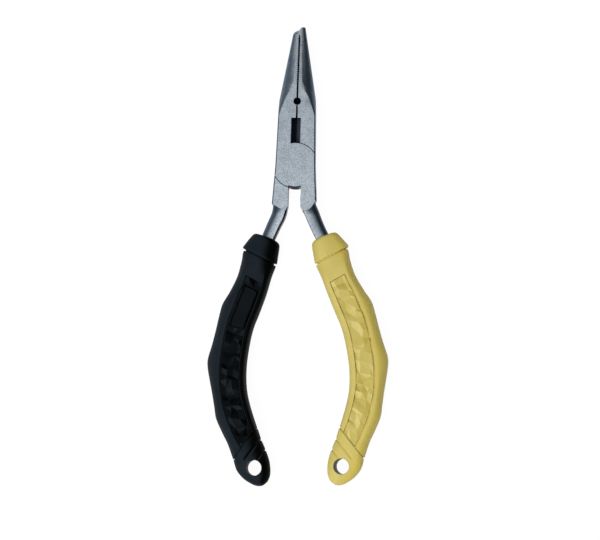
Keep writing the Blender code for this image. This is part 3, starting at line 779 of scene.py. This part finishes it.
def section_places(width):
    """Distances from the inner edge at which a grip's section has points, panel walls included."""
    wall = 0.06 * mm
    inner = inner_round * (1 - np.cos(np.linspace(0, math.pi / 2, 10)))
    rim = np.linspace(1.75 * mm, panel_inner, 4)
    floor = np.linspace(panel_inner + wall, panel_outer - wall, 12)
    ridge = panel_outer + np.linspace(0, rail_width, 5)
    outer = ridge[-1] + (width - ridge[-1]) * np.sin(np.linspace(0, math.pi / 2, 27)[1:])
    return np.concatenate([inner, rim, floor, ridge, outer])


def railed_height(places, width):
    """The section's height, as a share of its half thickness: rim, panel, ridge and sloping flank."""
    inner = np.sqrt(np.clip(1 - (1 - np.clip(places / inner_round, 0, 1)) ** 2, 0, 1)) * 0.95
    rim = np.clip((places - inner_round) / (0.8 * mm), 0, 1) * 0.05
    ridge_end = panel_outer + rail_width
    fall = np.clip((places - ridge_end) / (width - ridge_end), 0, 1)
    return (inner + rim) * np.sqrt(1 - fall**1.55)


def oval_height(places, width):
    """The height of an oval section, a little squarer than an ellipse."""
    across = np.abs(2 * places / width - 1)
    return np.clip(1 - across**2.3, 0, 1) ** (1 / 2.3)


def grip_ring(row, railed, sink, inset, reach=1.0):
    """A closed section: oval where railed is 0, with rails where it is 1, and sunk by the panel."""
    inner, outer = np.array([row[0], row[1], 0.0]), np.array([row[2], row[3], 0.0])
    width = float(np.linalg.norm(outer - inner))
    drawn = max(width, full_width)
    places = section_places(drawn)
    share = oval_height(places, drawn) * (1 - railed) + railed_height(places, drawn) * railed
    height = share * row[4]
    inside = (places > panel_inner + 0.01 * mm) & (places < panel_outer - 0.01 * mm)
    height = np.where(inside, height - sink, height)
    places = places * width / drawn
    local = inset * np.clip((reach - places / width) / groove_fade, 0, 1) if reach < 1 else inset
    height = height * (1 - local / row[4])
    centred = (places - width / 2) * (1 - local / (width / 2)) + width / 2
    across = (outer - inner) / width
    upper = [inner + across * d + np.array([0, 0, z]) for d, z in zip(centred, height)]
    lower = [inner + across * d - np.array([0, 0, z]) for d, z in zip(centred, height)]
    return [*upper, *lower[-2:0:-1]]


sleeve = curve_through(np.array(sleeve_rows) * mm, 12)
cap = curve_through(np.array(cap_rows) * mm, 12)
panel_first, panel_last = 32, len(sleeve) - 1
groove_depth = 0.55 * mm
# The cap's two slanting grooves: which ring each is on, and how far across the grip it runs
cap_grooves = ((12, 0.72), (24, 0.36))
groove_fade = 0.12


def groove(start, end, share, depth, railed):
    """A ring inside a groove between two places down the grip."""
    return grip_ring(start + (end - start) * share, railed, 0.0, depth)


def grip_rings():
    """All sections, from the collar's face to the end of the cap."""
    collar = curve_through(np.array(collar_rows) * mm, 5)
    rings = [grip_ring(row, 0.0, 0.0, 0.0) for row in collar]
    for share in (0.12, 0.5, 0.88):
        rings.append(groove(collar[-1], sleeve[0], share, 1.5 * groove_depth, 0.0))
    for i, row in enumerate(sleeve):
        railed = smooth(i, 9, 31)
        if i == panel_first:
            rings.append(grip_ring(row, railed, 0.0, 0.0))
            row = row + (sleeve[i + 1] - row) * 0.15
        sunk = panel_sink if panel_first <= i <= panel_last else 0.0
        rings.append(grip_ring(row, railed, sunk, 0.0))
    for share in (0.1, 0.5, 0.9):
        rings.append(groove(sleeve[-1], cap[0], share, groove_depth, 1.0 - share * 0.5))
    for i, row in enumerate(cap):
        lip, reach = 0.0, 1.0
        for centre, groove_reach in cap_grooves:
            if abs(i - centre) <= 1:
                lip = groove_depth * (0.85 if i == centre else 0.25)
                reach = groove_reach
        rings.append(grip_ring(row, 0.5 * (1 - smooth(i, 0, 16)), 0.0, lip, reach))
    return rings


lanyard_radius = 2.88 * mm
lanyard_lean = {-1: math.radians(-1.5), 1: math.radians(-6.0)}
lanyard_place = {
    -1: Vector((-16.4 * mm, -111.4 * mm, 4.5 * mm)),
    1: Vector((15.75 * mm, -111.2 * mm, 4.5 * mm)),
}


def grip_plastic(name, side, shine, dark, light, edge, right_side_shading, facet_shading=None):
    """Matt moulded thermoplastic: a fine even grain, faint flow clouds and a trace of handling.

    The side that faces right gets painted shade on the black and painted light on the yellow, and
    painted shade darkens the lanyard hole's wall. The facet colours, when given, are the painted
    shade and light of a crumpled strip's facets, by how each leans and how high it stands.
    """
    made = Finish(bpy.data.materials.new(name), Specular_IOR_Level=shine)
    grain = made.noise(0.16 * mm, 2.0, 0.5)
    flow = made.noise(9 * mm, 3.0, 0.5)
    worn = made.step(made.noise(4 * mm, 5.0, 0.65), 0.58, 0.75)
    colour = made.blend(made.step(flow * 0.7 + grain * 0.3, 0.35, 0.7), dark, light)
    colour = made.blend(worn * 0.3, colour, edge)
    if facet_shading:
        # Painted light and shade on the facets, by how each leans and how high it stands
        facet = made.node("ShaderNodeAttribute", {"attribute_name": "facet"}, {}, "Vector")
        lit = made.dot(facet, (-side, 0.5, 0.24)) + 0.09
        colour = made.blend(made.step(lit, -0.03, -0.26), colour, facet_shading[0])
        colour = made.blend(made.step(lit, 0.02, 0.22), colour, facet_shading[1])
    # Painted colour on the side that faces right: deeper shade on the black, brighter light on the yellow
    colour = made.blend(made.step(made.facing((1, 0, 0)), -0.02, 0.38), colour, right_side_shading)
    # Painted shade, near black, on the wall of the lanyard hole
    inside = {0: made.place, 1: pivot + lanyard_place[side]}
    from_hole = made.node("ShaderNodeVectorMath", {"operation": "SUBTRACT"}, inside)
    aside = made.dot(from_hole, (1, 0, -math.tan(lanyard_lean[side])))
    down = made.dot(from_hole, (0, 1, 0))
    far_off = (aside * aside + down * down) ** 0.5
    hole = made.step(far_off, lanyard_radius + 0.12 * mm, lanyard_radius + 0.04 * mm)
    made.set("Base Color", made.blend(hole * 0.95, colour, [0.08 * part for part in right_side_shading[:3]] + [1]))
    made.set("Roughness", 0.50 + grain * 0.16 - worn * 0.08)
    made.bump(grain, 0.03 * mm, 0.35)
    return made


# Each plastic's last colour is painted on its side that faces right: painted light on the yellow, painted
# shade on the black
yellow_plastic = grip_plastic(
    "yellow_plastic", 1, 0.3,
    (0.585, 0.472, 0.115, 1), (0.64, 0.522, 0.145, 1), (0.68, 0.565, 0.19, 1), (0.72, 0.56, 0.11, 1),
)
black_plastic = grip_plastic(
    "black_plastic", -1, 0.05,
    (0.008, 0.0125, 0.0165, 1), (0.0125, 0.018, 0.023, 1), (0.017, 0.023, 0.028, 1),
    (0.0003, 0.0004, 0.0004, 1),
)


def grip(name, side, finish, body, node):
    """One grip, with its lanyard hole and the bore that its tang fills."""
    rings = [[(side * (x + spread(side, y)), y, z) for x, y, z in ring] for ring in grip_rings()]
    piece = skin(name, rings)
    hole = turned("lanyard_hole", [(lanyard_radius, -far), (lanyard_radius, far)], segments=96)
    lean = Matrix.Rotation(lanyard_lean[side], 4, "Y")
    hole.data.transform(Matrix.Translation(lanyard_place[side]) @ lean)
    bore = skin("tang_bore", tang_rings(side, 0.06 * mm, False))
    shape_with(piece, [hole, bore])
    piece.data.transform(Matrix.Translation(pivot))
    finish_piece(piece, finish, body, node, 32)


grip("yellow_handle", 1, yellow_plastic, "front_body", "yellow_grip")
grip("black_handle", -1, black_plastic, "back_body", "black_grip")

# --- Inlays ----------------------------------------------------------------------------------------
# A strip of softer rubber lies in the panel on each face of each grip. It is moulded as crumpled
# facets for hold, and the black grip's front and the yellow grip's back have a plain sunk cartouche.


def facet_recipe():
    """Geometry Nodes: lays a strip's top on crumpled triangles, and sinks the cartouche into them."""
    kinds = {"Geometry": "Geometry"}
    kinds.update(dict.fromkeys(("Length", "Width", "Pitch", "Depth", "Face", "Cartouche"), "Float"))
    kinds.update({"Columns": "Int", "Seed": "Int", "Material": "Material"})
    recipe = Recipe("crumpled_facets", kinds)
    strip, length, width, pitch, depth, face, cartouche, columns, seed, material = recipe.given.values()

    def stored(label):
        """A number that the strip's points carry."""
        settings = {"data_type": "FLOAT"}
        return recipe.node("GeometryNodeInputNamedAttribute", settings, {"Name": label}, "Attribute")

    # A coarse grid, a little longer and wider than the strip, with its points moved at random
    long = length + pitch * 2.0
    grid = {"Size X": width * 1.15, "Size Y": long, "Vertices X": columns, "Vertices Y": long / pitch}
    coarse = recipe.node("GeometryNodeMeshGrid", {}, grid, "Mesh")
    away = pitch * 0.48
    aside = away * 0.85
    least = recipe.vector(aside * -1.0, away * -1.0, depth * -1.0)
    limits = {0: least, 1: recipe.vector(aside, away, 0.0), "Seed": seed}
    jitter = recipe.node("FunctionNodeRandomValue", {"data_type": "FLOAT_VECTOR"}, limits)
    centre = recipe.vector(width * 0.5, length * 0.5, 0.0)
    offset = recipe.node("ShaderNodeVectorMath", {"operation": "ADD"}, {0: jitter, 1: centre})
    crumpled = recipe.node("GeometryNodeSetPosition", {}, {"Geometry": coarse, "Offset": offset})
    folded = recipe.node("GeometryNodeTriangulate", {}, {"Mesh": crumpled})

    # A ray straight down at each point's place finds the height and the lean of the triangle there
    ray = {"Target Geometry": folded, "Ray Direction": (0, 0, -1), "Ray Length": 10 * mm}
    ray["Source Position"] = recipe.vector(stored("across"), stored("along"), 5 * mm)
    hit = recipe.node("GeometryNodeRaycast", {}, ray, "Hit Position")
    hit_height = recipe.node("ShaderNodeSeparateXYZ", {}, {0: hit}, "Z")
    lean = recipe.node("ShaderNodeSeparateXYZ", {}, {0: hit.output("Hit Normal")}, "X")
    crumpled_share = 1.0 - stored("cartouche") * cartouche
    sunk = stored("cartouche_sink") * cartouche
    rise = (hit_height * crumpled_share - sunk) * stored("lift") * face

    # The material paints light and shade on each facet by the way it leans and by how high it stands
    facet = recipe.vector(lean, lean.output("Y"), hit_height / depth)
    facet = recipe.node(
        "ShaderNodeVectorMath", {"operation": "SCALE"}, {0: facet, "Scale": crumpled_share}
    )
    noted = recipe.node(
        "GeometryNodeStoreNamedAttribute",
        {"data_type": "FLOAT_VECTOR"},
        {"Geometry": strip, "Name": "facet", "Value": facet},
    )
    move = {"Geometry": noted, "Offset": recipe.vector(0.0, 0.0, rise)}
    recipe.end(recipe.node("GeometryNodeSetPosition", {}, move), material)
    return recipe


facets = facet_recipe()
strip_columns = 42
strip_below_rim = 0.10 * mm
strip_gap_inner, strip_gap_outer = 0.07 * mm, 0.5 * mm
cartouche_depth = 0.42 * mm
cartouche_middle = (11.5 * mm, 3.35 * mm)
cartouche_half = (7.7 * mm, 2.6 * mm)


def cartouche_distance(along, across):
    """Distance outside a rectangle with round corners; negative inside it."""
    corner = 0.9 * mm
    a = abs(along - cartouche_middle[0]) - cartouche_half[0] + corner
    b = abs(across - cartouche_middle[1]) - cartouche_half[1] + corner
    return math.hypot(max(a, 0), max(b, 0)) + min(max(a, b), 0) - corner


def inlay_strip(name, side, face):
    """A strip with a fine top grid, straight walls and a flat back, with the places of its points."""
    # The strip starts a row below the panel's top, and stops just short of its end
    rows = curve_through(sleeve[panel_first : panel_last + 1], 2)[1:]
    rows[-1] = rows[-1] * 0.8 + rows[-2] * 0.2
    places = np.linspace(panel_inner + strip_gap_inner, panel_outer - strip_gap_outer, strip_columns)
    middles = (rows[:, :2] + rows[:, 2:4]) / 2
    lengths = np.concatenate([[0], np.cumsum(np.linalg.norm(np.diff(middles, axis=0), axis=1))])
    points, faces, along, across, lift, plain, sink = [], [], [], [], [], [], []
    count, columns = len(rows), strip_columns
    for level in (1, 0):
        for i, row in enumerate(rows):
            inner, outer = row[:2], row[2:4]
            direction = (outer - inner) / np.linalg.norm(outer - inner)
            narrow = min(1.0, float(np.linalg.norm(outer - inner)) / full_width)
            for j, place in enumerate(places):
                x, y = inner + direction * place * narrow
                edge = min(i, count - 1 - i, j, columns - 1 - j)
                top = row[4] - strip_below_rim - (0.10 * mm if edge == 0 else 0.0)
                z = top if level else row[4] - panel_sink + 0.03 * mm
                points.append((side * (x + spread(side, y)), y, face * z))
                distance = cartouche_distance(lengths[i], place - places[0])
                along.append(lengths[i])
                across.append(place - places[0])
                lift.append(float(level))
                plain.append(1.0 - smooth(distance, 0.05 * mm, 0.6 * mm))
                sink.append((1.0 - smooth(distance, -0.30 * mm, -0.05 * mm)) * cartouche_depth)
    half = count * columns
    for i in range(count - 1):
        for j in range(columns - 1):
            a = i * columns + j
            quad = (a, a + 1, a + columns + 1, a + columns)
            faces += [quad, tuple(half + k for k in reversed(quad))]
    border = list(range(columns))
    border += [i * columns + columns - 1 for i in range(1, count)]
    border += [(count - 1) * columns + j for j in range(columns - 2, -1, -1)]
    border += [i * columns for i in range(count - 2, 0, -1)]
    for a, b in zip(border, border[1:] + border[:1]):
        faces.append((b, a, half + a, half + b))
    piece = mesh_object(name, points, faces)
    values = {"along": along, "across": across, "lift": lift, "cartouche": plain}
    values["cartouche_sink"] = sink
    for label, numbers in values.items():
        piece.data.attributes.new(label, "FLOAT", "POINT").data.foreach_set("value", numbers)
    return piece, lengths[-1], places[-1] - places[0]


def inlay(name, side, face, finish, body, node):
    """One crumpled strip. The cartouche is on the black grip's front and the yellow grip's back."""
    piece, length, width = inlay_strip(name, side, face)
    sizes = {"Length": float(length), "Width": float(width), "Pitch": 2.25 * mm, "Depth": 0.78 * mm}
    sizes.update({"Face": float(face), "Cartouche": 1.0 if face != side else 0.0})
    sizes.update({"Columns": 4, "Seed": 11 + 3 * side + face, "Material": finish.owner})
    facets.run(piece, sizes)
    piece.data.transform(Matrix.Translation(pivot))
    finish_piece(piece, finish, body, node, 60)


# Each rubber's fourth colour is painted on its right side, and its last two are the painted shade and
# painted light of its facets
yellow_rubber = grip_plastic(
    "yellow_rubber", 1, 0.3,
    (0.555, 0.445, 0.10, 1), (0.60, 0.485, 0.125, 1), (0.63, 0.52, 0.16, 1), (0.60, 0.475, 0.10, 1),
    ((0.465, 0.368, 0.063, 1), (0.67, 0.555, 0.175, 1)),
)
black_rubber = grip_plastic(
    "black_rubber", -1, 0.03,
    (0.0017, 0.0025, 0.0033, 1), (0.0035, 0.005, 0.0065, 1), (0.005, 0.007, 0.009, 1),
    (0.0003, 0.0004, 0.0004, 1),
    ((0.0003, 0.0004, 0.0005, 1), (0.010, 0.014, 0.0175, 1)),
)
for face_name, face in (("front", 1), ("back", -1)):
    inlay(
        f"yellow_panel_{face_name}", 1, face, yellow_rubber, "front_body",
        f"yellow_inlay_{face_name}",
    )
    inlay(
        f"black_panel_{face_name}", -1, face, black_rubber, "back_body",
        f"black_inlay_{face_name}",
    )

# --- Studio ----------------------------------------------------------------------------------------
# A white floor under the pliers, a broad soft light above and to the left, and a dim right-hand side.

scene = bpy.context.scene
floor_half = 1.5
floor_drop = 0.2 * mm
corners = [(-floor_half, -floor_half), (floor_half, -floor_half)]
corners += [(floor_half, floor_half), (-floor_half, floor_half)]
floor = mesh_object("floor", [(x, y, -floor_drop) for x, y in corners], [(0, 1, 2, 3)])
white = Finish(bpy.data.materials.new("white_floor"), Base_Color=(0.9, 0.9, 0.9, 1), Roughness=0.9)
rays = [
    white.node("ShaderNodeLightPath", {}, {}, kind)
    for kind in ("Is Camera Ray", "Is Glossy Ray", "Is Transmission Ray")
]
seen = white.node(
    "ShaderNodeMath", {"operation": "ADD", "use_clamp": True}, {0: rays[0] + rays[1], 1: rays[2]}
)
glow = white.node("ShaderNodeEmission", {}, {"Strength": 1.04})
lit = Maths(white, white.shader.outputs[0])
shown = white.node("ShaderNodeMixShader", {}, {0: seen * 0.92, 1: lit, 2: glow})
white.links.new(shown.socket, white.nodes["Material Output"].inputs["Surface"])
floor.data.materials.append(white.owner)

scene.world = bpy.data.worlds.new("studio")
sky = Finish(scene.world, Color=(0.93, 0.97, 1.0, 1))
towards_sky = sky.node("ShaderNodeTexCoord", {}, {}, "Generated")
to_right = sky.node("ShaderNodeSeparateXYZ", {}, {0: towards_sky}, "X")
from_left = sky.node("ShaderNodeMapRange", {}, {0: to_right, 1: 0.7, 2: -0.7, 3: 0.06, 4: 0.36})
overhead = sky.dot(towards_sky, Vector((-0.10, 0.0, 1.0)).normalized())
sky.set("Strength", from_left + sky.step(overhead, 0.62, 0.96) * 0.85)


def soft_light(name, place, aim, size, power):
    """A square lamp of this size, in metres, which faces its aim."""
    lamp = bpy.data.lights.new(name, "AREA")
    lamp.size = size
    lamp.energy = power
    made = bpy.data.objects.new(name, lamp)
    scene.collection.objects.link(made)
    made.location = place
    made.rotation_euler = (Vector(aim) - Vector(place)).to_track_quat("-Z", "Y").to_euler()


soft_light("key", (-0.33, -0.42, 0.78), (0, 0, 0), 0.6, 5.6)

camera = bpy.data.objects.new("camera", bpy.data.cameras.new("camera"))
scene.collection.objects.link(camera)
camera.data.lens = 150
camera.data.sensor_width = 36
view_width = 222 * mm
distance = view_width * camera.data.lens / camera.data.sensor_width
aim = Vector((pivot.x + 1.2 * mm, pivot.y - 38.6 * mm, pivot.z))
from_right, from_grips, roll = math.radians(3.0), math.radians(4.5), math.radians(0.60)
towards = Vector((math.tan(from_right), -math.tan(from_grips), 1.0)).normalized()
up = Vector((math.sin(roll), math.cos(roll), 0.0))
across = up.cross(towards).normalized()
turn = Matrix((across, towards.cross(across), towards)).transposed()
camera.matrix_world = Matrix.Translation(aim + towards * distance) @ turn.to_4x4()
scene.camera = camera
scene.view_settings.view_transform = "Standard"
